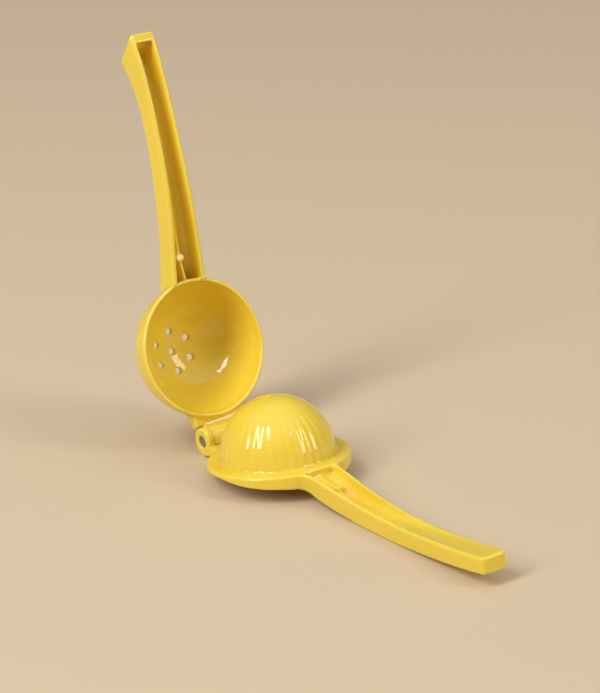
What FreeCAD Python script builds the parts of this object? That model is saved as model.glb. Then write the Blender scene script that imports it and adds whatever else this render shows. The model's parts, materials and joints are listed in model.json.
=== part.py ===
"""Hinged lemon squeezer: a perforated bowl on one handle closes over a fluted dome on the other.

Units are millimetres and +Z is up. Both castings are drawn with the hinge axis along Y through
the origin, the handles towards +X and the tool closed: the press arm lies below, its dome up,
and the cup arm lies above it, its bowl opening down. At the end the cup arm is swung open to
its stop and the whole tool is tipped back until the press arm rests on a flat floor.
"""
import FreeCAD
import Part
import math
import os

V = FreeCAD.Vector

# Height range of the upright blocks that the arms are cut from
tall_low = -60.0
tall_high = 60.0

# Both arms
wall = 2.5              # thickness of the cast walls
handle_wall = 2.5       # side walls of the channel in the cup handle
soft_edge = 1.2         # rounding along the upper outside edges of the press arm
under_edge = 1.0        # rounding along its lower edges
back_edge = 1.3         # rounding along the outside edges of the cup handle
ear_edge = 0.8          # rounding of the outside edges of the ears
channel_edge = 0.6      # rounding of the mouth of the cup handle's channel

# Bowl of the cup arm
bowl_r = 38.5           # outside radius of the bowl
hinge_room = 11.1       # hinge axis to the near edge of the bowl
reach = hinge_room + bowl_r     # hinge axis to the centre of the bowl and of the dome
edge_x = reach + bowl_r         # far edge of the bowl, where the handles begin
bowl_wall = 2.0         # wall of the bowl at its rim
bowl_taper = 0.8        # the wall is this much thicker at the drain holes
rim_z = -1.1            # plane of the bowl's rim when the tool is closed
hole_r = 1.8            # drain holes
hole_ring_r = 11.4      # circle of the outer drain holes
hole_count = 6

# Flange, skirt and dome of the press arm
flange_step = 0.4       # the flange stands out this far past the closed bowl
flange_r = bowl_r + flange_step
rim_gap = 0.5           # between the bowl's rim and the flange when the tool is closed
flange_z = rim_z - rim_gap      # top of the flange
skirt_z = flange_z - 2.6        # bottom of the skirt beside the hinge
flange_plate = 2.1      # thickness of the flange inside the skirt
skirt_wall = 3.4
juice_gap = 5.5         # between the dome and the rim of the closed bowl
dome_r = bowl_r - bowl_wall - juice_gap     # radius of the dome, and of its short straight foot
dome_foot = 1.8         # height of the straight foot
dome_fillet = 1.5       # width on the flange of the hollow corner around the dome
dome_fillet_r = 2.3
dome_bite = 0.6         # the hollow corner ends this deep inside the dome, below the flutes
flute_count = 36
flute_depth = 0.45      # deepest cut of a flute, at the foot of the dome
flute_r = 2.4           # radius of the round cutter of a flute
flute_top = 58.0        # degrees up the dome at which a flute has faded out

# Hinge
pin_r = 3.2
pin_recess = 0.6        # pin ends lie this deep inside the ears
pin_edge = 0.6          # rounding of the pin ends
seat_gap = 0.05         # radial gap of the pin in the ears
run_gap = 0.08          # radial gap of the barrel on the pin
side_gap = 0.25         # gap between the barrel and each ear
ear_r = pin_r + 3.6     # half width of an ear
ear_shift = 0.3         # middle of an ear, in front of the pin
ear_rise = 1.2          # an ear reaches this much further up and down than to its sides
ear_out = 15.9          # outside faces of the two ears
ear_thick = 3.6
neck_start = 2.0        # the plate behind the ears begins here, inside the ears
neck_reach = hinge_room + 6.2   # the necks of the ears end here, inside the flange
neck_z = flange_z - 3.9
neck_round = 4.0        # hollow corners between the necks and the flange
bore_chamfer = 0.5
barrel_r = pin_r + 3.4
barrel_gap = 0.4        # between the barrel and the hollow face of the bridge
bridge_r = barrel_r + barrel_gap
heel_r = bridge_r + 0.9     # heel on the barrel that stops against the bridge
stop_angle = 45.0       # direction of the stop face, in degrees below the press arm
stop_gap = 1.2          # degrees left between the heel and the bridge at rest
heel_span = 26.0        # degrees taken up by the heel
shoulder_gap = 0.4      # between the ears and the web that is cut back around them
shoulder_r = ear_r + math.hypot(ear_shift, ear_rise) + shoulder_gap

# Web between the bowl and the barrel
web_front = 0.6         # front face of the web when the tool is closed
web_half_low = 15.2     # half width at the hinge axis
web_half_high = 17.6    # half width where the web ends inside the wall of the bowl
web_reach = hinge_room + 14.6
web_back = [(6.3, 5.2), (hinge_room + 5.7, 8.9), (web_reach, 10.8)]

# Handles
press_reach = 225.0     # hinge axis to the flat end of the press handle
tip_step = 1.0          # the cup handle is this much shorter
cup_reach = press_reach - tip_step
slant = 12.0            # the slanted end of the cup handle leans this far back from its tip
tip_round = 2.4         # upright corners at the handle ends
root_round = 6.0        # hollow corners between the flange and the press handle
end_wall = 2.8          # thickness of the slanted end of the cup handle
floor_wall = 2.6        # thickness of the channel floors
channel_start = edge_x - 1.9    # end wall of the hollow in the press handle
press_rim = 2.0         # edge left beside the hollow of the press handle
draft = 0.08            # the sides of the press handle lean in by this much towards its underside
channel_fillet = 1.4    # rounding along the bottom of the channels
rib_thick = 1.8         # thin rib along each channel
rib_fat = 3.0           # thicker foot of the rib in the press handle
boss_r = 2.7            # round boss on each rib
boss_x = edge_x + 12.4

# Poses
open_angle = 103.0      # from closed, measured at the hinge
rest_tilt = 6.5         # slope of the press arm when it rests on the floor

tilt = math.radians(rest_tilt)
pin_height = ear_r + ear_rise * math.cos(tilt) - ear_shift * math.sin(tilt)


def floor_line(x):
    """Height, in the frame of the press arm, of the floor below the point x of that arm."""
    return -(pin_height + x * math.sin(tilt)) / math.cos(tilt)


def placed(pairs, end, level):
    """Points (share, height) of a handle as (x, z), with heights from a level.

    Share 0 is the far edge of the bowl and share 1 the end of the handle.
    """
    return [(edge_x + share * (end - edge_x), level + height) for share, height in pairs]


def above_floor(pairs, end):
    """The same with heights above the floor that the open tool stands on."""
    return [(x, floor_line(x) + height) for x, height in placed(pairs, end, 0.0)]


# Half widths of the handles, as (share, half width), the press handle's along its upper edges
press_plan = placed([(-0.200, 11.5), (0.015, 10.6), (0.088, 10.0), (0.161, 9.5), (0.234, 8.9),
                     (0.308, 8.5), (0.453, 7.95), (0.600, 7.7), (0.746, 7.7), (0.892, 7.95),
                     (1.0, 8.0)], press_reach, 0.0)
cup_plan = placed([(-0.125, 11.2), (0.007, 10.5), (0.125, 9.6), (0.332, 8.3), (0.567, 7.5),
                   (0.759, 7.2), (1.03, 8.0)], cup_reach, 0.0)

# Upper edges of the press handle, below the flange, and its underside, above the floor
press_edge = placed([(-0.036, 0.0), (0.021, -1.05), (0.060, -2.05), (0.110, -3.75), (0.161, -5.55),
                     (0.234, -7.9), (0.308, -9.9), (0.416, -12.3), (0.527, -14.1), (0.635, -15.2),
                     (0.746, -15.65), (0.854, -15.6), (1.0, -15.2)], press_reach, flange_z)
rest_flat = [(0.343, 0.0), (0.459, 0.0)]    # the stretch that lies flat on the floor
skirt_line = [(edge_x + out, skirt_z + down)
              for out, down in [(-49.0, 0.0), (-38.0, -0.1), (-28.0, -1.6), (-19.0, -3.0),
                                (-11.0, -4.1), (-5.0, -5.1)]]
press_under = skirt_line + above_floor([(0.015, 5.6), (0.052, 4.05), (0.088, 3.1), (0.161, 1.75),
                                        (0.234, 0.8), rest_flat[0]], press_reach)
press_tail = above_floor([rest_flat[1], (0.527, 0.4), (0.600, 0.95), (0.673, 1.75), (0.746, 2.75),
                          (0.819, 3.95), (0.892, 5.4), (1.0, 7.9)], press_reach)

# Hollow of the press handle, as (share, depth of its floor below the flange, squareness)
press_hollow = [(-0.100, 5.5, 4.0), (-0.014, 5.7, 4.0), (0.008, 6.1, 4.0), (0.052, 7.9, 4.0),
                (0.095, 10.3, 4.0), (0.132, 13.0, 4.0), (0.161, 14.4, 3.8), (0.190, 15.1, 3.4),
                (0.220, 15.5, 3.0), (0.264, 15.6, 2.6), (0.344, 15.75, 2.3), (0.453, 16.0, 2.0),
                (0.563, 16.2, 2.0), (0.673, 16.3, 2.0), (0.782, 16.2, 2.0), (0.880, 15.9, 2.0),
                (0.960, 15.45, 2.0)]

# Edge and back of the cup handle, above the rim of the closed bowl
cup_edge = placed([(-0.052, -0.3), (0.007, -2.1), (0.125, -6.1), (0.243, -10.0), (0.361, -12.7),
                   (0.538, -15.0), (0.759, -16.3), (0.892, -15.6), (1.0, -13.4)], cup_reach, rim_z)
back_end = (cup_reach - slant, rim_z + 3.1)
cup_back = placed([(-0.066, 17.5), (0.007, 13.2), (0.125, 7.8), (0.243, 3.5), (0.361, 0.5),
                   (0.479, -2.1), (0.612, -3.7), (0.744, -3.5), (0.825, -1.2)], cup_reach, rim_z)
cup_back = cup_back + [back_end]

# Free edges of the ribs, and the tops of their bosses
press_rib_fat = placed([(-0.014, -4.6), (0.090, -7.7)], press_reach, flange_z)
press_rib = placed([(0.090, -8.8), (0.178, -12.7), (0.261, -15.3), (0.300, -16.5)], press_reach, flange_z)
press_boss_z = flange_z - 7.2
cup_rib = placed([(-0.052, 3.1), (0.091, 3.6), (0.184, 1.8), (0.273, -0.3), (0.398, -3.7)], cup_reach, rim_z)
cup_boss_z = rim_z + 2.9


def height_at(pairs, x):
    """Second value of (x, value) pairs at x, straight between them and level before the first."""
    x = max(x, pairs[0][0])
    for (x0, z0), (x1, z1) in zip(pairs, pairs[1:]):
        if x <= x1:
            break
    return z0 + (z1 - z0) * (x - x0) / (x1 - x0)


def spline(points, start=None, end=None):
    """Smooth curve through points, with the directions given at its ends."""
    curve = Part.BSplineCurve()
    if start is None:
        curve.interpolate(points)
    else:
        curve.interpolate(Points=points, InitialTangent=start, FinalTangent=end)
    return curve.toShape()


def line(a, b):
    return Part.makeLine(a, b)


def side(pairs):
    """Points of a side view, given as (x, z)."""
    return [V(x, 0, z) for x, z in pairs]


def slope_line(points, start, end):
    """Smooth curve of the side view with the slopes given at its ends."""
    return spline(points, V(1, 0, start), V(1, 0, end))


def chain(points):
    """Straight edges that join points and close the outline."""
    return [line(a, b) for a, b in zip(points, points[1:] + points[:1])]


def plank(edges, half):
    """Solid of a side view, given by its edges, that reaches half to each side of y = 0."""
    face = Part.Face(Part.Wire(edges))
    face.translate(V(0, -half, 0))
    return face.extrude(V(0, 2 * half, 0))


def around_hinge(radius, low, high):
    """Cylinder on the hinge axis between two positions along it."""
    return Part.makeCylinder(radius, high - low, V(0, low, 0), V(0, 1, 0))


def on_hinge(radius, degrees):
    """Point of the side view at a distance from the hinge, degrees above the press arm."""
    turn = math.radians(degrees)
    return V(radius * math.cos(turn), 0, radius * math.sin(turn))


def at_centre(radius, height):
    """Point of the side view at a distance from the axis of the bowl and dome."""
    return V(reach + radius, 0, height)


def turned(edges):
    """Solid of revolution around the axis of the bowl and dome, from edges of a side view."""
    return Part.Face(Part.Wire(edges)).revolve(V(reach, 0, 0), V(0, 0, 1), 360)


def outline(plan, inset, level, lean):
    """Closed outline of a handle's plan view at a level, drawn inset from its sides."""
    near = [V(x, inset - half - lean * (level - height_at(press_edge, x)), level) for x, half in plan]
    far = [V(p.x, -p.y, p.z) for p in reversed(near)]
    return Part.Wire([spline(near), line(near[-1], far[0]), spline(far), line(far[-1], near[0])])


def handle_plan(plan, inset):
    """Upright block with the plan view of a handle, drawn inset from its sides."""
    return Part.Face(outline(plan, inset, tall_low, 0.0)).extrude(V(0, 0, tall_high - tall_low))


def drafted_plan(plan):
    """The same with sides that lean in below the upper edges of the press handle."""
    ends = [outline(plan, 0.0, level, draft) for level in (tall_low, tall_high)]
    return Part.makeLoft(ends, True, True)


def edges_at(shape, test):
    """Edges of a shape whose middle point and direction there pass a test."""
    found = []
    for edge in shape.Edges:
        middle = 0.5 * (edge.FirstParameter + edge.LastParameter)
        if test(edge.valueAt(middle), edge.tangentAt(middle)):
            found.append(edge)
    return found


def shared_edges(shape, first, second):
    """Edges of a shape whose middle point lies on the surfaces of two other solids."""
    found = []
    for edge in shape.Edges:
        middle = Part.Vertex(edge.valueAt(0.5 * (edge.FirstParameter + edge.LastParameter)))
        if middle.distToShape(first.Shells[0])[0] < 0.001 and middle.distToShape(second.Shells[0])[0] < 0.001:
            found.append(edge)
    return found


def upright(way):
    return abs(way.z) > 0.98


def crosswise(point, way):
    """True for the level seams that run straight across an arm."""
    return abs(way.y) > 0.999 and abs(point.y) < 1.0


def below_edge(point):
    """How far a point lies below the upper edge of the press arm."""
    return height_at(press_edge, point.x) - point.z


def press_block():
    """Flange, skirt, handle and neck plate of the press arm as one block with rounded edges."""
    disc = Part.makeCylinder(flange_r, tall_high - tall_low, V(reach, 0, tall_low))
    neck = Part.makeBox(reach - neck_start, 2 * ear_out, tall_high - tall_low,
                        V(neck_start, -ear_out, tall_low))
    plan = disc.fuse(drafted_plan(press_plan)).fuse(neck).removeSplitter()
    root = edges_at(plan, lambda p, d: upright(d) and reach + 20 < p.x < press_reach - 20)
    plan = plan.makeFillet(root_round, root)
    corner = edges_at(plan, lambda p, d: upright(d) and neck_start + 5 < p.x < reach - 20)
    plan = plan.makeFillet(neck_round, corner)
    before = neck_start - 1.0
    corner = [V(before, 0, flange_z), V(before, 0, skirt_z)]
    top = side(press_edge)
    under = side(press_under)
    tail = side(press_tail)
    view = [line(corner[0], top[0]),
            slope_line(top, 0.0, 0.03),
            line(top[-1], tail[-1]),
            slope_line(tail, -math.tan(tilt), 0.06),
            line(under[-1], tail[0]),
            slope_line(under, 0.0, -math.tan(tilt)),
            line(corner[1], under[0]),
            line(corner[0], corner[1])]
    body = plan.common(plank(view, 60.0)).Solids[0]
    corners = edges_at(body, lambda p, d: upright(d) and p.x > press_reach - 1.0)
    body = body.makeFillet(tip_round, corners)

    def around(point, way):
        return not upright(way) and not (crosswise(point, way) and point.x < press_reach - 1.0)

    body = body.makeFillet(under_edge, edges_at(body, lambda p, d: around(p, d) and below_edge(p) > 1.2))
    return body.makeFillet(soft_edge, edges_at(body, lambda p, d: around(p, d) and below_edge(p) < 1.2))


def hollow_section(x, depth, square):
    """Outline of the press handle's hollow across the handle, open above."""
    high = height_at(press_edge, x)
    half = height_at(press_plan, x) - press_rim
    drop = high - flange_z + depth
    points = []
    for i in range(-6, 7):
        turn = math.radians(15.0 * i)
        across = math.copysign(abs(math.sin(turn)) ** (2.0 / square), turn)
        points.append(V(x, half * across, high - drop * abs(math.cos(turn)) ** (2.0 / square)))
    above = [V(x, half, tall_high), V(x, -half, tall_high)]
    return Part.Wire([spline(points), line(points[-1], above[0]), line(above[0], above[1]),
                      line(above[1], points[0])])


def press_channel():
    """Hollow of the press handle: a deep pocket at its root that runs out towards its end."""
    places = placed([(share, depth) for share, depth, square in press_hollow], press_reach, 0.0)
    sections = [hollow_section(x, depth, row[2]) for (x, depth), row in zip(places, press_hollow)]
    keep = Part.makeBox(press_reach, 60, tall_high - tall_low, V(channel_start, -30, tall_low))
    body = Part.makeLoft(sections, True, False).common(keep).Solids[0]
    end = edges_at(body, lambda p, d: p.x < channel_start + 0.01 and p.z < tall_high - 1.0)
    return body.makeFillet(channel_fillet, end)


def dome():
    """Solid dome with its flutes and the hollow corner around its foot."""
    middle = flange_z + dome_foot
    low = flange_z - 1.0
    half = math.sqrt(0.5)
    body = turned([Part.Arc(at_centre(0, middle + dome_r), at_centre(dome_r * half, middle + dome_r * half),
                            at_centre(dome_r, middle)).toShape()]
                  + chain([at_centre(dome_r, middle), at_centre(dome_r, low), at_centre(0, low),
                           at_centre(0, middle + dome_r)])[:-1])
    path_r = dome_r + flute_r - flute_depth
    lift = flute_depth / math.sin(math.radians(flute_top))
    for i in range(flute_count // 2):
        across = math.radians(360.0 / flute_count * (i + 0.5))
        body = body.cut(Part.makeTorus(path_r, flute_r, V(reach, 0, middle + lift),
                                       V(math.cos(across), math.sin(across), 0)))
    spread = dome_fillet + dome_bite
    turn = math.asin(spread / dome_fillet_r)
    curve = [V(reach + dome_r + dome_fillet - dome_fillet_r * math.sin(t), 0,
               flange_z + dome_fillet_r * (1 - math.cos(t))) for t in (0.0, 0.5 * turn, turn)]
    ring = turned([Part.Arc(*curve).toShape()]
                  + chain([curve[2], at_centre(dome_r - 2 * wall, curve[2].z),
                           at_centre(dome_r - 2 * wall, low), V(curve[0].x, 0, low), curve[0]])[:-1])
    return body.fuse(ring)


def ear(sign):
    """One ear of the press arm, with the neck that carries it under the flange."""
    left = ear_shift - ear_r
    right = ear_shift + ear_r
    span = math.hypot(neck_reach - ear_shift, neck_z + ear_rise)
    touch = math.atan2(neck_z + ear_rise, neck_reach - ear_shift) - math.acos(ear_r / span)
    low = on_hinge(ear_r, math.degrees(touch)) + V(ear_shift, 0, -ear_rise)
    half_way = on_hinge(ear_r, 0.5 * (math.degrees(touch) - 180.0)) + V(ear_shift, 0, -ear_rise)
    neck_top = skirt_z + under_edge
    corners = [V(neck_reach, 0, neck_z), V(neck_reach, 0, neck_top), V(right, 0, neck_top),
               V(right, 0, ear_rise)]
    view = [Part.Arc(corners[-1], V(ear_shift, 0, ear_rise + ear_r), V(left, 0, ear_rise)).toShape(),
            line(V(left, 0, ear_rise), V(left, 0, -ear_rise)),
            Part.Arc(V(left, 0, -ear_rise), half_way, low).toShape()]
    view = view + chain([low] + corners)[:-1]
    body = plank(view, 0.5 * ear_thick)
    outside = edges_at(body, lambda p, d: p.y * sign > 1.0 and (p.x < right + 0.1 or p.z < neck_z) and
                       p.x < neck_reach - 0.5)
    body = body.makeFillet(ear_edge, outside)
    body.translate(V(0, sign * (ear_out - 0.5 * ear_thick), 0))
    body = body.cut(around_hinge(pin_r + seat_gap, -30, 30))
    mouth = edges_at(body, lambda p, d: p.y * sign > ear_out - 0.01 and math.hypot(p.x, p.z) < pin_r + 1.0)
    return body.makeChamfer(bore_chamfer, mouth)


def bridge():
    """Plate between the ears, hollowed around the barrel and cut off at the stop face."""
    top_turn = math.degrees(math.asin(flange_z / bridge_r))
    inner = on_hinge(bridge_r, top_turn)
    stop_in = on_hinge(bridge_r, -stop_angle)
    stop_out = on_hinge(heel_r + 0.5, -stop_angle)
    curve = Part.Arc(inner, on_hinge(bridge_r, 0.5 * (top_turn - stop_angle)), stop_in).toShape()
    rest = chain([stop_in, stop_out, V(neck_reach, 0, neck_z), V(neck_reach, 0, flange_z), inner])[:-1]
    return plank([curve] + rest, ear_out - 0.5 * ear_thick)


def rib(pairs, thick, depth):
    """Rib along a channel, from its free edge down to a given depth."""
    top = side(pairs)
    return plank(chain(top + [V(top[-1].x, 0, depth), V(top[0].x, 0, depth)]), 0.5 * thick)


def press_arm():
    block = press_block()
    inside = rib(press_rib_fat, rib_fat, tall_low).fuse(rib(press_rib, rib_thick, tall_low))
    inside = inside.fuse(Part.makeCylinder(boss_r, press_boss_z - tall_low, V(boss_x, 0, tall_low)))
    body = block.cut(press_channel()).Solids[0]
    body = body.fuse(inside.common(block))
    body = body.fuse(dome()).fuse(ear(-1)).fuse(ear(1)).fuse(bridge())
    inner = ear_out - ear_thick
    body = body.cut(around_hinge(bridge_r, -inner, inner))
    body = body.cut(around_hinge(pin_r + seat_gap, -ear_out, ear_out))
    middle = flange_z + dome_foot
    body = body.cut(Part.makeSphere(dome_r - wall, V(reach, 0, middle)))
    body = body.cut(Part.makeCylinder(dome_r - wall, 60, V(reach, 0, middle - 60)))
    body = body.cut(Part.makeCylinder(flange_r - skirt_wall, 60, V(reach, 0, flange_z - flange_plate - 60)))
    return body.removeSplitter()


def hinge_pin():
    half = ear_out - pin_recess
    body = around_hinge(pin_r, -half, half)
    body = body.makeFillet(pin_edge, edges_at(body, lambda p, d: abs(p.y) > half - 0.01))
    return body.common(Part.makeSphere(half))


def bowl():
    """Half round bowl with a rounded rim, opening down."""
    edge = 0.5 * bowl_wall
    inner_r = bowl_r - bowl_wall
    centre_z = rim_z - bowl_taper
    half = math.sqrt(0.5)
    out = at_centre(math.sqrt(bowl_r ** 2 - edge ** 2), rim_z + edge)
    inn = at_centre(math.sqrt(inner_r ** 2 - (edge + bowl_taper) ** 2), rim_z + edge)
    return turned([Part.Arc(at_centre(0, rim_z + bowl_r), at_centre(bowl_r * half, rim_z + bowl_r * half),
                            out).toShape(),
                   Part.Arc(out, V(0.5 * (out.x + inn.x), 0, rim_z), inn).toShape(),
                   Part.Arc(inn, at_centre(inner_r * half, centre_z + inner_r * half),
                            at_centre(0, centre_z + inner_r)).toShape(),
                   line(at_centre(0, centre_z + inner_r), at_centre(0, rim_z + bowl_r))])


def cup_block():
    """Handle of the cup arm before its channel is cut."""
    back = side(cup_back)
    top = side(cup_edge)
    view = [slope_line(top, -0.25, 0.2),
            line(top[-1], back[-1]),
            slope_line(back, -0.55, 0.42),
            line(back[0], top[0])]
    body = handle_plan(cup_plan, 0.0).common(plank(view, 60.0)).Solids[0]
    corners = edges_at(body, lambda p, d: p.x > back_end[0] and abs(p.y) > 5.0 and abs(d.x) < 0.7
                       and abs(d.z) > 0.6)
    body = body.makeFillet(tip_round, corners)
    soft = edges_at(body, lambda p, d: p.x > cup_plan[0][0] + 10.0)
    return body.makeFillet(back_edge, soft)


def cup_channel():
    """Hollow of the cup handle, open towards the bowl's opening."""
    end_x, end_z = back_end
    low = side([(x, z - floor_wall) for x, z in cup_back])
    low = [V(low[0].x - 4.0, 0, low[0].z)] + low[:-1] + [V(end_x + 6.0, 0, low[-1].z)]
    view = [spline(low)] + chain([low[-1], V(low[-1].x, 0, tall_low), V(low[0].x, 0, tall_low), low[0]])[:-1]
    body = handle_plan(cup_plan, handle_wall).common(plank(view, 60.0)).Solids[0]
    lean = V(slant, 0, cup_edge[-1][1] - end_z)
    lean.normalize()
    inward = V(lean.z, 0, -lean.x)
    end = V(end_x, 0, end_z) + inward * end_wall
    block = plank(chain([end + lean * 120, end - lean * 60, end - lean * 60 - inward * 90,
                         end + lean * 120 - inward * 90]), 60.0)
    body = body.cut(block).Solids[0]
    inner = edges_at(body, lambda p, d: p.x > cup_plan[0][0] + 10.0 and p.z > tall_low + 1.0)
    return body.makeFillet(channel_fillet, inner)


def web():
    """Plate between the bowl and the barrel, cut back around the two ears."""
    back = side(web_back)
    view = chain([V(2.0, 0, web_front), V(web_reach, 0, web_front)] + list(reversed(back)) + [V(2.0, 0, 4.4)])
    low_y = web_half_low
    high_y = web_half_high
    plan = Part.Face(Part.Wire(chain([V(0, -low_y, 0), V(web_reach, -high_y, 0), V(web_reach, high_y, 0),
                                      V(0, low_y, 0)]))).extrude(V(0, 0, 20))
    body = plank(view, 60.0).common(plan)
    inside = ear_out - ear_thick - side_gap
    for low, high in ((-2 * ear_out, -inside), (inside, 2 * ear_out)):
        body = body.cut(around_hinge(shoulder_r, low, high))
    return body


def heel():
    """Raised stop on the barrel, drawn where it lies when the tool is closed."""
    first = -stop_angle - stop_gap - open_angle
    last = first - heel_span
    root_r = 0.5 * (pin_r + barrel_r)
    curve = Part.Arc(on_hinge(heel_r, first), on_hinge(heel_r, first - 0.5 * heel_span),
                     on_hinge(heel_r, last)).toShape()
    rest = chain([on_hinge(heel_r, last), on_hinge(root_r, last), on_hinge(root_r, first),
                  on_hinge(heel_r, first)])[:-1]
    return plank([curve] + rest, ear_out - ear_thick - side_gap)


def cup_arm():
    block = cup_block()
    inside = rib(cup_rib, rib_thick, tall_high).fuse(
        Part.makeCylinder(boss_r, tall_high - cup_boss_z, V(boss_x, 0, cup_boss_z)))
    channel = cup_channel()
    handle = block.cut(channel).Solids[0]
    mouth = [edge for edge in shared_edges(handle, block, channel) if edge.BoundBox.XMax > reach + bowl_r]
    handle = handle.makeFillet(channel_edge, mouth)
    handle = handle.fuse(inside.common(block))
    inner = ear_out - ear_thick - side_gap
    hinge = web().fuse(around_hinge(barrel_r, -inner, inner)).fuse(heel())
    outer = handle.fuse(hinge).cut(Part.makeSphere(bowl_r - 0.5 * bowl_wall, V(reach, 0, rim_z)))
    body = bowl().fuse(outer)
    body = body.cut(around_hinge(pin_r + run_gap, -30, 30))
    body = body.cut(Part.makeCylinder(hole_r, tall_high, V(reach, 0, 0)))
    for i in range(hole_count):
        turn = 2 * math.pi * i / hole_count
        body = body.cut(Part.makeCylinder(hole_r, tall_high, V(reach + hole_ring_r * math.cos(turn),
                                                               hole_ring_r * math.sin(turn), 0)))
    return body.removeSplitter()


def to_rest(shape, swing):
    """Turns a shape of the closed tool to its place in the open tool on the floor."""
    shape.rotate(V(0, 0, 0), V(0, 1, 0), -swing - rest_tilt)
    return shape


if __name__ == "__main__":
    os.makedirs("parts", exist_ok=True)
    nodes = {
        "press_arm": to_rest(press_arm(), 0.0),
        "hinge_pin": to_rest(hinge_pin(), 0.0),
        "cup_arm": to_rest(cup_arm(), open_angle),
    }
    box = Part.makeCompound(list(nodes.values())).optimalBoundingBox(False, False)
    shift = V(-0.5 * (box.XMin + box.XMax), 0, pin_height)
    for name, shape in nodes.items():
        shape.translate(shift)
        shape.exportStep("parts/" + name + ".step")
        print(name, shape.isValid(), len(shape.Solids), len(shape.Faces), round(shape.Volume))
    print("hinge axis at", shift, "lowest point", box.ZMin + pin_height)
    print("size", box.XLength, box.YLength, box.ZLength)
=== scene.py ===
"""Looks of an enamelled hinged lemon squeezer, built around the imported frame.

The two castings take their shape from the frame. Geometry Nodes make the fluted dome and the flared
drain holes, and one pass over each casting softens its corners as a thick coat of enamel does.
"""
import json
import math

import bmesh
import bpy
import numpy as np
from mathutils import Matrix, Vector, kdtree
from mathutils.bvhtree import BVHTree


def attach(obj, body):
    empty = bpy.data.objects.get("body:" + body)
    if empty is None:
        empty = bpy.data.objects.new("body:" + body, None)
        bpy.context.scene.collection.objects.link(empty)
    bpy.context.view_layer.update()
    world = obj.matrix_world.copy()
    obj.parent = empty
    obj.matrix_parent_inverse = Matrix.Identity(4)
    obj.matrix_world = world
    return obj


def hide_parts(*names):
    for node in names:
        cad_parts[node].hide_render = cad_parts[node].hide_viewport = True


bl_info = {
    "name": "Hinged Lemon Squeezer",
    "version": (1, 0, 0),
    "blender": (4, 5, 0),
    "location": "View3D > Sidebar > Squeezer",
    "description": "Builds the looks of a hinged lemon squeezer around its packed frame",
    "category": "Object",
}

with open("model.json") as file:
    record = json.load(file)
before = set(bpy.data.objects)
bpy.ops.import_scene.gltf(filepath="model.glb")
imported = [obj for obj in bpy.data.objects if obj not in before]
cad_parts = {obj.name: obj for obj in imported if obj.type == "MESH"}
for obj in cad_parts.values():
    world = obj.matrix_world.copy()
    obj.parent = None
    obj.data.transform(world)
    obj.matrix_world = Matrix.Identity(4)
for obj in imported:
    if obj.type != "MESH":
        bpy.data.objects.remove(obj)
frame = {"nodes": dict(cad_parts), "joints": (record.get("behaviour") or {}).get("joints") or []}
hinge = Vector(frame["joints"][0]["pos_m"])
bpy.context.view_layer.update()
press_turn = math.radians(-6.5)
cup_turn = math.radians(-109.5)
dome_place = Vector((0.0496, 0.0, 0.0002))      # middle of the dome on its arm
rim_place = Vector((0.0496, 0.0, -0.0011))      # middle of the bowl's rim on its arm
flange_level = -0.0016          # top of the flange on its arm
wall_middle = 0.0371            # from the rim's middle to the middle of the wall at the drain holes
cutter_half = 0.0017            # half length of a drain hole's cutter
shell_wall = 0.0013             # thickness of the dome's fluted shell
shell_rings = 240
facets_per_flute = 12
corner_step = 0.0004            # between the points along a hollow corner
hollow_angle = math.radians(-22)        # corners more hollow than this are filled
even_rounds = 4                 # rounds that even out the grid
proud_rounds = 10               # rounds of the smooth shape that "edge" is measured from
hinge_near = 0.0095             # the castings are kept true within this distance of the hinge axis
hinge_fade = 0.002
hinge_half = 0.0185             # and this far out along it
light_target = Vector((-0.03, 0.0, 0.04))
light_distance = 3.0


def on_arm(turn):
    """Matrix from an arm's own frame, hinge at the origin and handle towards +X, to its place."""
    return Matrix.Translation(hinge) @ Matrix.Rotation(turn, 4, "Y")


# Settings


class DomeSettings(bpy.types.PropertyGroup):
    radius: bpy.props.FloatProperty(
        name="Radius", description="Radius of the dome over the lands between its flutes",
        default=0.0310, min=0.02, max=0.035, unit="LENGTH")
    foot: bpy.props.FloatProperty(
        name="Foot", description="Height of the hollow corner between the dome and the flange",
        default=0.0019, min=0.0005, max=0.004, unit="LENGTH")
    spread: bpy.props.FloatProperty(
        name="Foot spread", description="How far the hollow corner reaches out over the flange",
        default=0.0019, min=0.0005, max=0.004, unit="LENGTH")
    flutes: bpy.props.IntProperty(
        name="Flutes", description="Number of flutes around the dome", default=36, min=12, max=60)
    depth: bpy.props.FloatProperty(
        name="Flute depth", description="Depth of the flutes where they are deepest",
        default=0.00030, min=0.0, max=0.001, unit="LENGTH")
    top: bpy.props.FloatProperty(
        name="Flute top", description="Height at which a flute has faded out, as an angle up the dome",
        default=math.radians(52), min=math.radians(20), max=math.radians(85), subtype="ANGLE")


class HoleSettings(bpy.types.PropertyGroup):
    radius: bpy.props.FloatProperty(
        name="Radius", description="Radius of a drain hole", default=0.0018, min=0.001, max=0.003,
        unit="LENGTH")
    flare: bpy.props.FloatProperty(
        name="Flare", description="How far the enamel rounds off the edge of a drain hole",
        default=0.0009, min=0.0, max=0.0015, unit="LENGTH")
    ring: bpy.props.FloatProperty(
        name="Ring", description="Radius of the circle of outer drain holes", default=0.0114,
        min=0.006, max=0.02, unit="LENGTH")
    count: bpy.props.IntProperty(
        name="Outer holes", description="Number of drain holes around the middle one", default=6,
        min=3, max=12)


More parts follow.
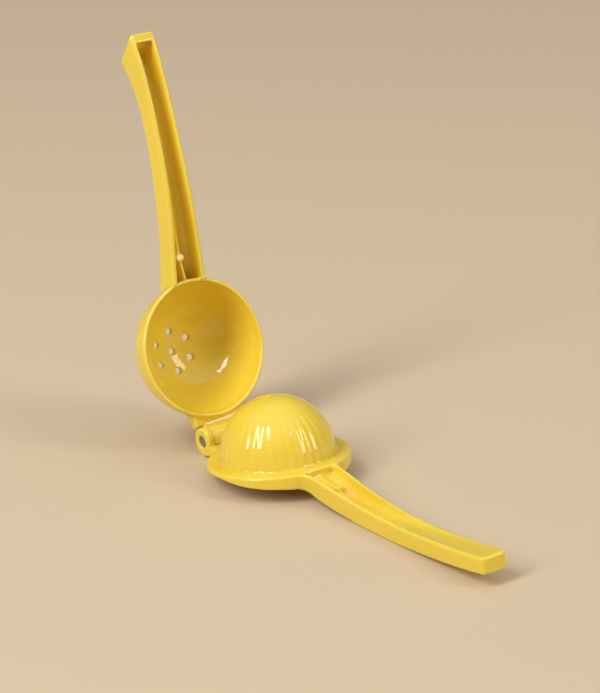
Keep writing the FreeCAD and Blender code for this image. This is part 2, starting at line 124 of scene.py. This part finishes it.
class CastingSettings(bpy.types.PropertyGroup):
    grain: bpy.props.FloatProperty(
        name="Mesh size", description="Size of the mesh squares of the castings", default=0.0005,
        min=0.0004, max=0.002, unit="LENGTH")
    corner: bpy.props.FloatProperty(
        name="Corner reach", description="How far from a hollow corner the enamel fills it",
        default=0.0018, min=0.0005, max=0.006, unit="LENGTH")
    triangles: bpy.props.IntProperty(
        name="Most triangles", description="A casting's mesh is thinned out to this many triangles",
        default=180000, min=20000, max=199000)
    fill: bpy.props.IntProperty(
        name="Corner rounds", description="Rounds of smoothing in the hollow corners", default=24,
        min=0, max=100)


class EnamelSettings(bpy.types.PropertyGroup):
    body: bpy.props.FloatVectorProperty(
        name="Enamel", description="Colour of the enamel", subtype="COLOR", size=3,
        default=(0.900, 0.665, 0.052), min=0.0, max=1.0)
    # The thin colour is also a painted highlight, laid over proud edges.
    thin: bpy.props.FloatVectorProperty(
        name="Thin enamel", description="Colour where the enamel runs thin over outer edges",
        subtype="COLOR", size=3, default=(0.920, 0.725, 0.085), min=0.0, max=1.0)
    # The deep colour is also painted shade, laid into hollow corners; it also tints the random clouds and
    # specks.
    deep_tone_and_shade: bpy.props.FloatVectorProperty(
        name="Deep enamel", description="Colour where the enamel lies thick in hollow corners",
        subtype="COLOR", size=3, default=(0.800, 0.515, 0.020), min=0.0, max=1.0)
    roughness: bpy.props.FloatProperty(
        name="Roughness", description="Roughness of the enamel under its clear top", default=0.5,
        min=0.0, max=1.0, subtype="FACTOR")


class SteelSettings(bpy.types.PropertyGroup):
    colour: bpy.props.FloatVectorProperty(
        name="Steel", description="Colour of the turned steel pin", subtype="COLOR", size=3,
        default=(0.40, 0.40, 0.41), min=0.0, max=1.0)
    roughness: bpy.props.FloatProperty(
        name="Roughness", description="Roughness of the steel", default=0.22, min=0.0, max=1.0,
        subtype="FACTOR")


class StageSettings(bpy.types.PropertyGroup):
    floor: bpy.props.FloatVectorProperty(
        name="Floor", description="Colour of the floor", subtype="COLOR", size=3,
        default=(0.66, 0.53, 0.37), min=0.0, max=1.0)
    key: bpy.props.FloatProperty(
        name="Key light", description="Power of the soft light on the left", default=62.0, min=0.0,
        max=400.0)
    side: bpy.props.FloatProperty(
        name="Side light", description="Power of the soft light on the right", default=28.0, min=0.0,
        max=400.0)
    room: bpy.props.FloatProperty(
        name="Room light", description="Strength of the even light of the room", default=0.9,
        min=0.0, max=3.0)


class SqueezerSettings(bpy.types.PropertyGroup):
    dome: bpy.props.PointerProperty(type=DomeSettings)
    holes: bpy.props.PointerProperty(type=HoleSettings)
    casting: bpy.props.PointerProperty(type=CastingSettings)
    enamel: bpy.props.PointerProperty(type=EnamelSettings)
    steel: bpy.props.PointerProperty(type=SteelSettings)
    stage: bpy.props.PointerProperty(type=StageSettings)


# Node helpers


class Tree:
    """A Geometry Nodes tree that is written as a list of nodes and their inputs."""

    def __init__(self, name, sizes):
        self.tree = bpy.data.node_groups.new(name, "GeometryNodeTree")
        sockets = self.tree.interface
        sockets.new_socket("Geometry", in_out="INPUT", socket_type="NodeSocketGeometry")
        for label, kind in sizes:
            sockets.new_socket(label, in_out="INPUT", socket_type=kind)
        sockets.new_socket("Geometry", in_out="OUTPUT", socket_type="NodeSocketGeometry")
        self.given = self.tree.nodes.new("NodeGroupInput")
        self.result = self.tree.nodes.new("NodeGroupOutput")

    def size(self, label):
        return self.given.outputs[label]

    def join(self, value, socket):
        if isinstance(value, bpy.types.NodeSocket):
            self.tree.links.new(value, socket)
        else:
            socket.default_value = value

    def node(self, kind, inputs=(), **settings):
        node = self.tree.nodes.new(kind)
        for key, value in settings.items():
            setattr(node, key, value)
        for key, value in dict(inputs).items():
            self.join(value, node.inputs[key])
        return node

    def math(self, operation, a, b=0.0, c=0.0):
        node = self.node("ShaderNodeMath", {0: a, 1: b, 2: c}, operation=operation)
        return node.outputs[0]

    def finish(self, geometry, material):
        """Ends the tree in Realize Instances and Set Material."""
        whole = self.node("GeometryNodeRealizeInstances", {"Geometry": geometry})
        coat = self.node("GeometryNodeSetMaterial", {"Geometry": whole.outputs[0], "Material": material})
        self.join(coat.outputs[0], self.result.inputs[0])
        return self.tree


def grown(name, tree, values):
    """Plain mesh that a tree makes with the given values of its named inputs."""
    seed = bpy.data.objects.new(name, bpy.data.meshes.new(name))
    bpy.context.scene.collection.objects.link(seed)
    maker = seed.modifiers.new(tree.name, "NODES")
    maker.node_group = tree
    for item in tree.interface.items_tree:
        if item.item_type == "SOCKET" and item.in_out == "INPUT" and item.name in values:
            maker[item.identifier] = values[item.name]
    return settled(seed)


def settled(obj):
    """Turns the object's evaluated shape into its plain mesh, with no modifiers left."""
    graph = bpy.context.evaluated_depsgraph_get()
    graph.update()
    mesh = bpy.data.meshes.new_from_object(obj.evaluated_get(graph))
    obj.modifiers.clear()
    obj.data = mesh
    return obj


# Dome


def dome_tree(material):
    """Closed thin shell of the fluted dome: the upper half of a ball becomes the outside, with its
    hollow foot, and the lower half is turned up inside it."""
    t = Tree("Fluted dome", [
        ("Radius", "NodeSocketFloat"), ("Foot", "NodeSocketFloat"), ("Foot spread", "NodeSocketFloat"),
        ("Flutes", "NodeSocketInt"), ("Flute depth", "NodeSocketFloat"), ("Flute top", "NodeSocketFloat"),
        ("Shell", "NodeSocketFloat"), ("Facets per flute", "NodeSocketInt"), ("Rings", "NodeSocketInt"),
        ("Centre", "NodeSocketVector"), ("Turn", "NodeSocketVector")])
    m = t.math
    radius, foot, spread = t.size("Radius"), t.size("Foot"), t.size("Foot spread")
    ball = t.node("GeometryNodeMeshUVSphere", {
        "Segments": m("MULTIPLY", t.size("Flutes"), t.size("Facets per flute")),
        "Rings": t.size("Rings"), "Radius": 1.0})
    place = t.node("ShaderNodeSeparateXYZ", {0: t.node("GeometryNodeInputPosition").outputs[0]})
    x, y, z = place.outputs
    around = m("ARCTAN2", y, x)
    rise = m("DIVIDE", m("ARCSINE", m("MINIMUM", m("MAXIMUM", z, -1.0), 1.0)), math.pi / 2)

    # The outside: an arc up the dome, and below it the hollow foot
    foot_share = 0.12
    climb = m("MAXIMUM", m("DIVIDE", m("SUBTRACT", rise, foot_share), 1.0 - foot_share), 0.0)
    angle = m("MULTIPLY", climb, math.pi / 2)
    sink = m("SUBTRACT", 1.0, m("MINIMUM", m("MAXIMUM", m("DIVIDE", rise, foot_share), 0.0), 1.0))
    drop = m("MULTIPLY", sink, math.pi / 2)

    # The flutes: round lands with narrower soft grooves, fading out up the dome and over the foot
    phase = m("FRACT", m("DIVIDE", m("MULTIPLY", around, t.size("Flutes")), 2 * math.pi))
    wave = m("MULTIPLY_ADD", m("COSINE", m("MULTIPLY", phase, 2 * math.pi)), -0.5, 0.5)
    groove = m("POWER", wave, 1.35)
    left = m("DIVIDE", m("SUBTRACT", t.size("Flute top"), angle), t.size("Flute top"))
    left = m("MINIMUM", m("MAXIMUM", left, 0.0), 1.0)
    fade = m("SMOOTH_MAX", m("MULTIPLY", m("SQRT", left), m("MULTIPLY_ADD", left, -0.35, 1.35)), 0.0, 0.1)
    fade = m("MINIMUM", fade, 1.0)
    fade = m("MULTIPLY", fade, m("SUBTRACT", 1.0, m("POWER", sink, 3.0)))
    cut = m("MULTIPLY", m("MULTIPLY", groove, fade), t.size("Flute depth"))
    skin = m("SUBTRACT", radius, cut)
    out_r = m("MULTIPLY_ADD", m("COSINE", angle), skin,
              m("MULTIPLY", spread, m("SUBTRACT", 1.0, m("COSINE", drop))))
    out_z = m("SUBTRACT", m("MULTIPLY", m("SINE", angle), skin), m("MULTIPLY", foot, m("SINE", drop)))

    # The inside, which starts just below the top of the flange
    thin = m("SUBTRACT", radius, t.size("Shell"))
    bottom = m("SUBTRACT", m("MULTIPLY", foot, -1.0), 0.0008)
    turn = m("MULTIPLY", m("ABSOLUTE", m("MINIMUM", rise, 0.0)), math.pi / 2)
    in_r = m("MULTIPLY", thin, m("COSINE", turn))
    in_z = m("MULTIPLY_ADD", m("SUBTRACT", thin, bottom), m("SINE", turn), bottom)

    inside = m("LESS_THAN", rise, -0.002)
    r = m("ADD", m("MULTIPLY", out_r, m("SUBTRACT", 1.0, inside)), m("MULTIPLY", in_r, inside))
    h = m("ADD", m("MULTIPLY", out_z, m("SUBTRACT", 1.0, inside)), m("MULTIPLY", in_z, inside))
    point = t.node("ShaderNodeCombineXYZ", {0: m("MULTIPLY", r, m("COSINE", around)),
                                            1: m("MULTIPLY", r, m("SINE", around)), 2: h})
    shaped = t.node("GeometryNodeSetPosition", {"Geometry": ball.outputs[0], "Position": point.outputs[0]})
    placed = t.node("GeometryNodeTransform", {"Geometry": shaped.outputs[0],
                                              "Translation": t.size("Centre"), "Rotation": t.size("Turn")})
    return t.finish(placed.outputs[0], material)


# Drain holes


def hole_tree(material):
    """Cutters for the drain holes: waisted plugs, one in the middle and the others on a ring."""
    t = Tree("Drain hole cutters", [
        ("Radius", "NodeSocketFloat"), ("Flare", "NodeSocketFloat"), ("Ring", "NodeSocketFloat"),
        ("Outer holes", "NodeSocketInt"), ("Wall middle", "NodeSocketFloat"), ("Wall", "NodeSocketFloat"),
        ("Centre", "NodeSocketVector"), ("Turn", "NodeSocketVector")])
    m = t.math
    plug = t.node("GeometryNodeMeshCylinder", {"Vertices": 48, "Side Segments": 24, "Radius": 1.0,
                                               "Depth": 2.0}, fill_type="NGON")
    place = t.node("ShaderNodeSeparateXYZ", {0: t.node("GeometryNodeInputPosition").outputs[0]})
    x, y, z = place.outputs
    near = m("ABSOLUTE", z)
    reach = m("MAXIMUM", m("DIVIDE", m("SUBTRACT", near, 0.25), 0.75), 0.0)
    wide = m("MULTIPLY_ADD", m("SUBTRACT", 1.0, m("SQRT", m("SUBTRACT", 1.0, m("MULTIPLY", reach, reach)))),
             t.size("Flare"), t.size("Radius"))
    point = t.node("ShaderNodeCombineXYZ", {0: m("MULTIPLY", x, wide), 1: m("MULTIPLY", y, wide),
                                            2: m("MULTIPLY", z, t.size("Wall"))})
    shaped = t.node("GeometryNodeSetPosition", {"Geometry": plug.outputs[0], "Position": point.outputs[0]})
    ring = t.node("GeometryNodeMeshCircle", {"Vertices": t.size("Outer holes"), "Radius": t.size("Ring")})
    middle = t.node("GeometryNodeMeshLine", {"Count": 1})
    points = t.node("GeometryNodeJoinGeometry")
    t.join(ring.outputs[0], points.inputs[0])
    t.join(middle.outputs[0], points.inputs[0])
    flat = t.node("ShaderNodeSeparateXYZ", {0: t.node("GeometryNodeInputPosition").outputs[0]})
    out2 = m("ADD", m("MULTIPLY", flat.outputs[0], flat.outputs[0]),
             m("MULTIPLY", flat.outputs[1], flat.outputs[1]))
    wall_r = t.size("Wall middle")
    height = m("SQRT", m("SUBTRACT", m("MULTIPLY", wall_r, wall_r), out2))
    lift = t.node("ShaderNodeCombineXYZ", {0: 0.0, 1: 0.0, 2: height})
    seats = t.node("GeometryNodeSetPosition", {"Geometry": points.outputs[0], "Offset": lift.outputs[0]})
    plugs = t.node("GeometryNodeInstanceOnPoints", {"Points": seats.outputs[0],
                                                    "Instance": shaped.outputs[0]})
    placed = t.node("GeometryNodeTransform", {"Geometry": plugs.outputs[0],
                                              "Translation": t.size("Centre"), "Rotation": t.size("Turn")})
    return t.finish(placed.outputs[0], material)


# Castings


def merged_copy(node, name):
    """Copy of a frame node with its loose triangles merged into one closed mesh."""
    work = bmesh.new()
    work.from_mesh(frame["nodes"][node].data)
    bmesh.ops.remove_doubles(work, verts=work.verts, dist=1e-7)
    mesh = bpy.data.meshes.new(name)
    work.to_mesh(mesh)
    work.free()
    obj = bpy.data.objects.new(name, mesh)
    bpy.context.scene.collection.objects.link(obj)
    return obj


def hollow_corners(mesh, step):
    """Points along the sharp hollow corners of a mesh, a step apart."""
    work = bmesh.new()
    work.from_mesh(mesh)
    found = []
    for edge in work.edges:
        if len(edge.link_faces) == 2 and edge.calc_face_angle_signed() < hollow_angle:
            a, b = (v.co for v in edge.verts)
            count = max(1, math.ceil((b - a).length / step))
            found += [a.lerp(b, i / count) for i in range(count + 1)]
    work.free()
    return found


def sunk_dome(mesh, place, settings):
    """Sinks the dome's outer skin of a working copy, so that the fluted shell covers it."""
    inverse = place.inverted()
    under = settings.radius - 0.0011
    for vertex in mesh.vertices:
        point = inverse @ vertex.co - dome_place
        out = math.hypot(point.x, point.y)
        skin = point.length > settings.radius - 0.0019
        if point.z > flange_level - dome_place.z + 0.00002 and out < settings.radius + 0.0018 and skin:
            if point.z > 0.0:
                point *= under / point.length
            else:
                share = under / out
                point = Vector((point.x * share, point.y * share, -0.0022))
            vertex.co = place @ (point + dome_place)


def gridded(obj, size):
    """Remeshes the object into even small squares."""
    remesh = obj.modifiers.new("Grid", "REMESH")
    remesh.mode = "VOXEL"
    remesh.voxel_size = size
    remesh.adaptivity = 0.0
    settled(obj)


def neighbours_mean(points, edges, count):
    total = np.zeros_like(points)
    for axis in range(3):
        total[:, axis] += np.bincount(edges[:, 0], points[edges[:, 1], axis], minlength=len(points))
        total[:, axis] += np.bincount(edges[:, 1], points[edges[:, 0], axis], minlength=len(points))
    return total / count[:, None]


def kept_true(points, node, free):
    """Puts points back on the surface of a frame node, by how little each one is free."""
    source = frame["nodes"][node].data
    surface = BVHTree.FromPolygons([v.co for v in source.vertices],
                                   [face.vertices[:] for face in source.polygons])
    for i in np.flatnonzero(free < 1.0):
        near = np.array(surface.find_nearest(points[i])[0])
        points[i] += (1.0 - free[i]) * (near - points[i])


def softened(obj, corners, settings, node):
    """Evens out the grid and fills the hollow corners softly, as thick enamel does.

    It also writes the point attribute "edge": how far a point is proud of its neighbourhood.
    """
    mesh = obj.data
    points = np.empty(len(mesh.vertices) * 3)
    mesh.vertices.foreach_get("co", points)
    points = points.reshape(-1, 3)
    edges = np.empty(len(mesh.edges) * 2, dtype=np.int64)
    mesh.edges.foreach_get("vertices", edges)
    edges = edges.reshape(-1, 2)
    count = np.maximum(np.bincount(edges.ravel(), minlength=len(points)), 1)

    for _ in range(even_rounds):
        for step in (0.5, -0.53):
            points += step * (neighbours_mean(points, edges, count) - points)

    tree = kdtree.KDTree(len(corners))
    for i, corner in enumerate(corners):
        tree.insert(corner, i)
    tree.balance()
    far = np.array([tree.find(p)[2] for p in points])
    weight = np.clip(1.0 - far / settings.corner, 0.0, 1.0)
    free = off_hinge(points)
    weight = weight * weight * (3.0 - 2.0 * weight) * free
    for _ in range(settings.fill):
        points += 0.5 * weight[:, None] * (neighbours_mean(points, edges, count) - points)
    kept_true(points, node, free)

    mesh.vertices.foreach_set("co", points.ravel())
    mesh.update()
    normals = np.empty(len(points) * 3)
    mesh.vertices.foreach_get("normal", normals)
    normals = normals.reshape(-1, 3)
    smooth = points.copy()
    for _ in range(proud_rounds):
        smooth = neighbours_mean(smooth, edges, count)
    proud = ((points - smooth) * normals).sum(axis=1) / settings.grain
    for _ in range(2):
        proud = neighbours_mean(np.repeat(proud[:, None], 3, axis=1), edges, count)[:, 0]
    attribute = mesh.attributes.new("edge", "FLOAT", "POINT")
    attribute.data.foreach_set("value", proud.astype(np.float32))
    mesh.polygons.foreach_set("use_smooth", [True] * len(mesh.polygons))
    mesh.update()


def thinned(obj, most):
    """Thins the mesh out to a number of triangles, flat parts first."""
    count = sum(len(face.vertices) - 2 for face in obj.data.polygons)
    if count > most:
        thin = obj.modifiers.new("Thin", "DECIMATE")
        thin.ratio = most / count
        settled(obj)


def off_hinge(points):
    """0 beside the hinge axis, where the arms move past each other, and 1 away from it."""
    far = np.hypot(points[:, 0] - hinge.x, points[:, 2] - hinge.z)
    near_ears = np.abs(points[:, 1]) < hinge_half
    return np.where(near_ears, np.clip((far - hinge_near) / hinge_fade, 0.0, 1.0), 1.0)


def dressed(obj, material, body, node):
    """Gives a finished piece its material and ties it to the frame."""
    obj.data.materials.clear()
    obj.data.materials.append(material)
    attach(obj, body)
    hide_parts(node)


# Materials


def new_material(name):
    material = bpy.data.materials.new(name)
    material.use_nodes = True
    nodes = material.node_tree.nodes
    return material, nodes, material.node_tree.links, nodes["Principled BSDF"]


def enamel_material(settings):
    """Glossy poured enamel: paler over edges, a painted highlight where the enamel also runs thin, and
    deeper in hollows, painted shade where it also lies thick.
    """
    material, nodes, links, shader = new_material("glossy_enamel")
    place = nodes.new("ShaderNodeTexCoord").outputs["Object"]

    edge = nodes.new("ShaderNodeAttribute")
    edge.attribute_name = "edge"

    def stretched(value, low, high):
        ramp = nodes.new("ShaderNodeMapRange")
        ramp.inputs["From Min"].default_value = low
        ramp.inputs["From Max"].default_value = high
        links.new(value, ramp.inputs["Value"])
        return ramp.outputs["Result"]

    def noise(scale, detail):
        cloud = nodes.new("ShaderNodeTexNoise")
        cloud.inputs["Scale"].default_value = scale
        cloud.inputs["Detail"].default_value = detail
        links.new(place, cloud.inputs["Vector"])
        return cloud.outputs["Fac"]

    def mixed(factor, a, b):
        mix = nodes.new("ShaderNodeMix")
        mix.data_type = "RGBA"
        links.new(factor, mix.inputs["Factor"])
        for value, socket in ((a, mix.inputs["A"]), (b, mix.inputs["B"])):
            if isinstance(value, bpy.types.NodeSocket):
                links.new(value, socket)
            else:
                socket.default_value = (*value, 1.0)
        return mix.outputs["Result"]

    def times(a, b):
        product = nodes.new("ShaderNodeMath")
        product.operation = "MULTIPLY"
        links.new(a, product.inputs[0])
        product.inputs[1].default_value = b
        return product.outputs[0]

    body, thin, deep_tone_and_shade = settings.body, settings.thin, settings.deep_tone_and_shade
    cloudy = mixed(times(stretched(noise(38.0, 3.0), 0.3, 0.7), 0.16), body, deep_tone_and_shade)
    # Painted shade: the deeper colour darkens hollow corners, where the enamel also lies thick.
    pooled_shade = mixed(times(stretched(edge.outputs["Fac"], -0.10, -0.7), 0.8), cloudy, deep_tone_and_shade)
    # Painted highlight: the paler colour brightens proud edges, where the enamel also runs thin.
    with_edge_highlight = mixed(times(stretched(edge.outputs["Fac"], 0.10, 0.8), 0.8), pooled_shade, thin)
    speckled = mixed(times(stretched(noise(2300.0, 1.0), 0.72, 0.80), 0.35), with_edge_highlight, deep_tone_and_shade)
    links.new(speckled, shader.inputs["Base Color"])

    rough = nodes.new("ShaderNodeMapRange")
    rough.inputs["To Min"].default_value = settings.roughness - 0.05
    rough.inputs["To Max"].default_value = settings.roughness + 0.07
    links.new(noise(160.0, 4.0), rough.inputs["Value"])
    links.new(rough.outputs["Result"], shader.inputs["Roughness"])
    shader.inputs["Specular IOR Level"].default_value = 0.25
    shader.inputs["Coat Weight"].default_value = 1.0
    shader.inputs["Coat Roughness"].default_value = 0.03
    shader.inputs["Coat IOR"].default_value = 1.52

    def bumped(height, strength, depth, before):
        bump = nodes.new("ShaderNodeBump")
        bump.inputs["Strength"].default_value = strength
        bump.inputs["Distance"].default_value = depth
        links.new(height, bump.inputs["Height"])
        if before:
            links.new(before, bump.inputs["Normal"])
        return bump.outputs["Normal"]

    waves = bumped(noise(150.0, 1.0), 0.35, 0.00022, None)
    peel = bumped(noise(620.0, 2.0), 0.25, 0.00003, waves)
    links.new(peel, shader.inputs["Normal"])
    links.new(waves, shader.inputs["Coat Normal"])
    return material


def steel_material(settings):
    """Turned steel with fine rings around the pin's axis and a little dirt in random smears."""
    material, nodes, links, shader = new_material("turned_steel")
    place = nodes.new("ShaderNodeTexCoord")
    centre = nodes.new("ShaderNodeMapping")
    centre.inputs["Location"].default_value = -hinge
    links.new(place.outputs["Object"], centre.inputs["Vector"])
    rings = nodes.new("ShaderNodeTexWave")
    rings.wave_type = "RINGS"
    rings.rings_direction = "Y"
    rings.inputs["Scale"].default_value = 1500.0
    rings.inputs["Distortion"].default_value = 2.0
    rings.inputs["Detail"].default_value = 2.0
    links.new(centre.outputs["Vector"], rings.inputs["Vector"])
    smear = nodes.new("ShaderNodeTexNoise")
    smear.inputs["Scale"].default_value = 700.0
    smear.inputs["Detail"].default_value = 4.0
    links.new(centre.outputs["Vector"], smear.inputs["Vector"])
    worn = 0.7
    tone = nodes.new("ShaderNodeMix")
    tone.data_type = "RGBA"
    tone.inputs["A"].default_value = (*(worn * c for c in settings.colour), 1.0)
    tone.inputs["B"].default_value = (*settings.colour, 1.0)
    links.new(smear.outputs["Fac"], tone.inputs["Factor"])
    links.new(tone.outputs["Result"], shader.inputs["Base Color"])
    rough = nodes.new("ShaderNodeMapRange")
    rough.inputs["To Min"].default_value = settings.roughness - 0.08
    rough.inputs["To Max"].default_value = settings.roughness + 0.12
    links.new(smear.outputs["Fac"], rough.inputs["Value"])
    links.new(rough.outputs["Result"], shader.inputs["Roughness"])
    shader.inputs["Metallic"].default_value = 1.0
    bump = nodes.new("ShaderNodeBump")
    bump.inputs["Strength"].default_value = 0.3
    bump.inputs["Distance"].default_value = 0.00002
    links.new(rings.outputs["Fac"], bump.inputs["Height"])
    links.new(bump.outputs["Normal"], shader.inputs["Normal"])
    return material


def enamel():
    """The one enamel material that both castings share."""
    return bpy.data.materials.get("glossy_enamel") or enamel_material(bpy.context.scene.squeezer.enamel)


# Operators


class OBJECT_OT_press_arm(bpy.types.Operator):
    """Makes the press arm: dome with flutes, flange, hinge ears and channel handle in one casting"""

    bl_idname = "squeezer.press_arm"
    bl_label = "Press arm"

    def execute(self, context):
        settings = context.scene.squeezer
        dome = settings.dome
        place = on_arm(press_turn)
        shell = grown("dome_shell", dome_tree(enamel()), {
            "Radius": dome.radius, "Foot": dome.foot, "Foot spread": dome.spread, "Flutes": dome.flutes,
            "Flute depth": dome.depth, "Flute top": dome.top, "Shell": shell_wall,
            "Facets per flute": facets_per_flute, "Rings": shell_rings,
            "Centre": place @ dome_place, "Turn": (0.0, press_turn, 0.0)})
        arm = merged_copy("press_arm", "press_casting")
        inverse = place.inverted()
        corners = []
        for point in hollow_corners(arm.data, corner_step):
            at = inverse @ point - dome_place
            if not (math.hypot(at.x, at.y) < dome.radius + 0.0025 and at.z > -0.0023):
                corners.append(point)
        sunk_dome(arm.data, place, dome)
        work = bmesh.new()
        work.from_mesh(arm.data)
        work.from_mesh(shell.data)
        work.to_mesh(arm.data)
        work.free()
        bpy.data.objects.remove(shell)
        gridded(arm, settings.casting.grain)
        softened(arm, corners, settings.casting, "press_arm")
        thinned(arm, settings.casting.triangles)
        dressed(arm, enamel(), "press", "press_arm")
        return {"FINISHED"}


class OBJECT_OT_cup_arm(bpy.types.Operator):
    """Makes the cup arm: bowl with drain holes, web, barrel and channel handle in one casting"""

    bl_idname = "squeezer.cup_arm"
    bl_label = "Cup arm"

    def execute(self, context):
        settings = context.scene.squeezer
        holes = settings.holes
        place = on_arm(cup_turn)
        cutters = grown("hole_cutters", hole_tree(enamel()), {
            "Radius": holes.radius, "Flare": holes.flare, "Ring": holes.ring, "Outer holes": holes.count,
            "Wall middle": wall_middle, "Wall": cutter_half, "Centre": place @ rim_place,
            "Turn": (0.0, cup_turn, 0.0)})
        arm = merged_copy("cup_arm", "cup_casting")
        corners = hollow_corners(arm.data, corner_step)
        cut = arm.modifiers.new("Holes", "BOOLEAN")
        cut.operation = "DIFFERENCE"
        cut.object = cutters
        cut.solver = "EXACT"
        settled(arm)
        bpy.data.objects.remove(cutters)
        gridded(arm, settings.casting.grain)
        softened(arm, corners, settings.casting, "cup_arm")
        thinned(arm, settings.casting.triangles)
        dressed(arm, enamel(), "cup", "cup_arm")
        return {"FINISHED"}


class OBJECT_OT_hinge_pin(bpy.types.Operator):
    """Gives the hinge pin its turned steel"""

    bl_idname = "squeezer.hinge_pin"
    bl_label = "Hinge pin"

    def execute(self, context):
        pin = frame["nodes"]["hinge_pin"]
        steel = steel_material(context.scene.squeezer.steel)
        for slot in pin.material_slots:
            slot.material = steel
        return {"FINISHED"}


def softbox(name, azimuth, elevation, width, height, power):
    """Rectangular soft light that looks at the middle of the object."""
    a, e = math.radians(azimuth), math.radians(elevation)
    way = Vector((math.cos(a) * math.cos(e), math.sin(a) * math.cos(e), math.sin(e)))
    data = bpy.data.lights.new(name, "AREA")
    data.shape = "RECTANGLE"
    data.size, data.size_y = width, height
    data.energy = power
    lamp = bpy.data.objects.new(name, data)
    lamp.matrix_world = (Matrix.Translation(light_target + light_distance * way)
                         @ way.to_track_quat("Z", "Y").to_matrix().to_4x4())
    bpy.context.scene.collection.objects.link(lamp)


def room_world(strength):
    """Even light of a plain room: pale walls, darker above them, and a bright ceiling."""
    world = bpy.data.worlds.new("room")
    world.use_nodes = True
    nodes, links = world.node_tree.nodes, world.node_tree.links
    way = nodes.new("ShaderNodeTexCoord").outputs["Generated"]
    height = nodes.new("ShaderNodeSeparateXYZ")
    links.new(way, height.inputs[0])
    ramp = nodes.new("ShaderNodeValToRGB")
    links.new(height.outputs["Z"], ramp.inputs["Fac"])
    stops = ramp.color_ramp.elements
    stops[0].position, stops[0].color = 0.0, (0.34, 0.32, 0.29, 1.0)
    stops[1].position, stops[1].color = 1.0, (1.0, 0.97, 0.93, 1.0)
    for position, level in ((0.12, 0.26), (0.30, 0.14), (0.60, 0.22), (0.85, 0.9)):
        stop = stops.new(position)
        stop.color = (level, 0.97 * level, 0.93 * level, 1.0)
    back = nodes["Background"]
    links.new(ramp.outputs["Color"], back.inputs["Color"])
    back.inputs["Strength"].default_value = strength
    return world


class OBJECT_OT_squeezer_stage(bpy.types.Operator):
    """Makes the pale floor, the soft studio light and the camera at the photograph's angle"""

    bl_idname = "squeezer.stage"
    bl_label = "Stage"

    def execute(self, context):
        scene = context.scene
        settings = scene.squeezer.stage
        work = bmesh.new()
        bmesh.ops.create_circle(work, cap_ends=True, segments=96, radius=6.0)
        mesh = bpy.data.meshes.new("floor")
        work.to_mesh(mesh)
        work.free()
        floor = bpy.data.objects.new("floor", mesh)
        scene.collection.objects.link(floor)
        material, _, _, shader = new_material("pale_floor")
        shader.inputs["Base Color"].default_value = (*settings.floor, 1.0)
        shader.inputs["Roughness"].default_value = 0.9
        shader.inputs["Specular IOR Level"].default_value = 0.15
        mesh.materials.append(material)

        softbox("key_light", -88.0, 42.0, 0.78, 2.35, settings.key)
        softbox("side_light", 32.0, 28.0, 0.70, 2.30, settings.side)

        scene.world = room_world(settings.room)

        camera = bpy.data.objects.new("camera", bpy.data.cameras.new("camera"))
        camera.data.sensor_fit = "HORIZONTAL"
        camera.data.sensor_width = 36.0
        camera.data.lens = 147.85
        eye = hinge + Vector((1.03865, -0.69692, 0.52229))
        forward = Vector((-0.75850, 0.54751, -0.35342)).normalized()
        level = forward.to_track_quat("-Z", "Y").to_matrix().to_4x4()
        camera.matrix_world = Matrix.Translation(eye) @ level @ Matrix.Rotation(math.radians(-2.34), 4, "Z")
        scene.collection.objects.link(camera)
        scene.camera = camera
        scene.view_settings.view_transform = "Standard"
        return {"FINISHED"}


class VIEW3D_PT_squeezer(bpy.types.Panel):
    """Sizes, colours and steps of the lemon squeezer"""

    bl_label = "Lemon Squeezer"
    bl_space_type = "VIEW_3D"
    bl_region_type = "UI"
    bl_category = "Squeezer"

    def draw(self, context):
        settings = context.scene.squeezer
        for title, group, operator in (
            ("Dome", settings.dome, OBJECT_OT_press_arm),
            ("Drain holes", settings.holes, OBJECT_OT_cup_arm),
            ("Castings", settings.casting, None),
            ("Enamel", settings.enamel, None),
            ("Pin", settings.steel, OBJECT_OT_hinge_pin),
            ("Stage", settings.stage, OBJECT_OT_squeezer_stage),
        ):
            box = self.layout.box()
            box.label(text=title)
            for name in group.__annotations__:
                box.prop(group, name)
            if operator:
                box.operator(operator.bl_idname)


classes = (DomeSettings, HoleSettings, CastingSettings, EnamelSettings, SteelSettings, StageSettings,
           SqueezerSettings, OBJECT_OT_press_arm, OBJECT_OT_cup_arm, OBJECT_OT_hinge_pin,
           OBJECT_OT_squeezer_stage, VIEW3D_PT_squeezer)


def register():
    for cls in classes:
        bpy.utils.register_class(cls)
    bpy.types.Scene.squeezer = bpy.props.PointerProperty(type=SqueezerSettings)


def unregister():
    del bpy.types.Scene.squeezer
    for cls in reversed(classes):
        bpy.utils.unregister_class(cls)


def main():
    register()
    bpy.ops.squeezer.press_arm()
    bpy.ops.squeezer.cup_arm()
    bpy.ops.squeezer.hinge_pin()
    bpy.ops.squeezer.stage()


if __name__ == "__main__":
    main()
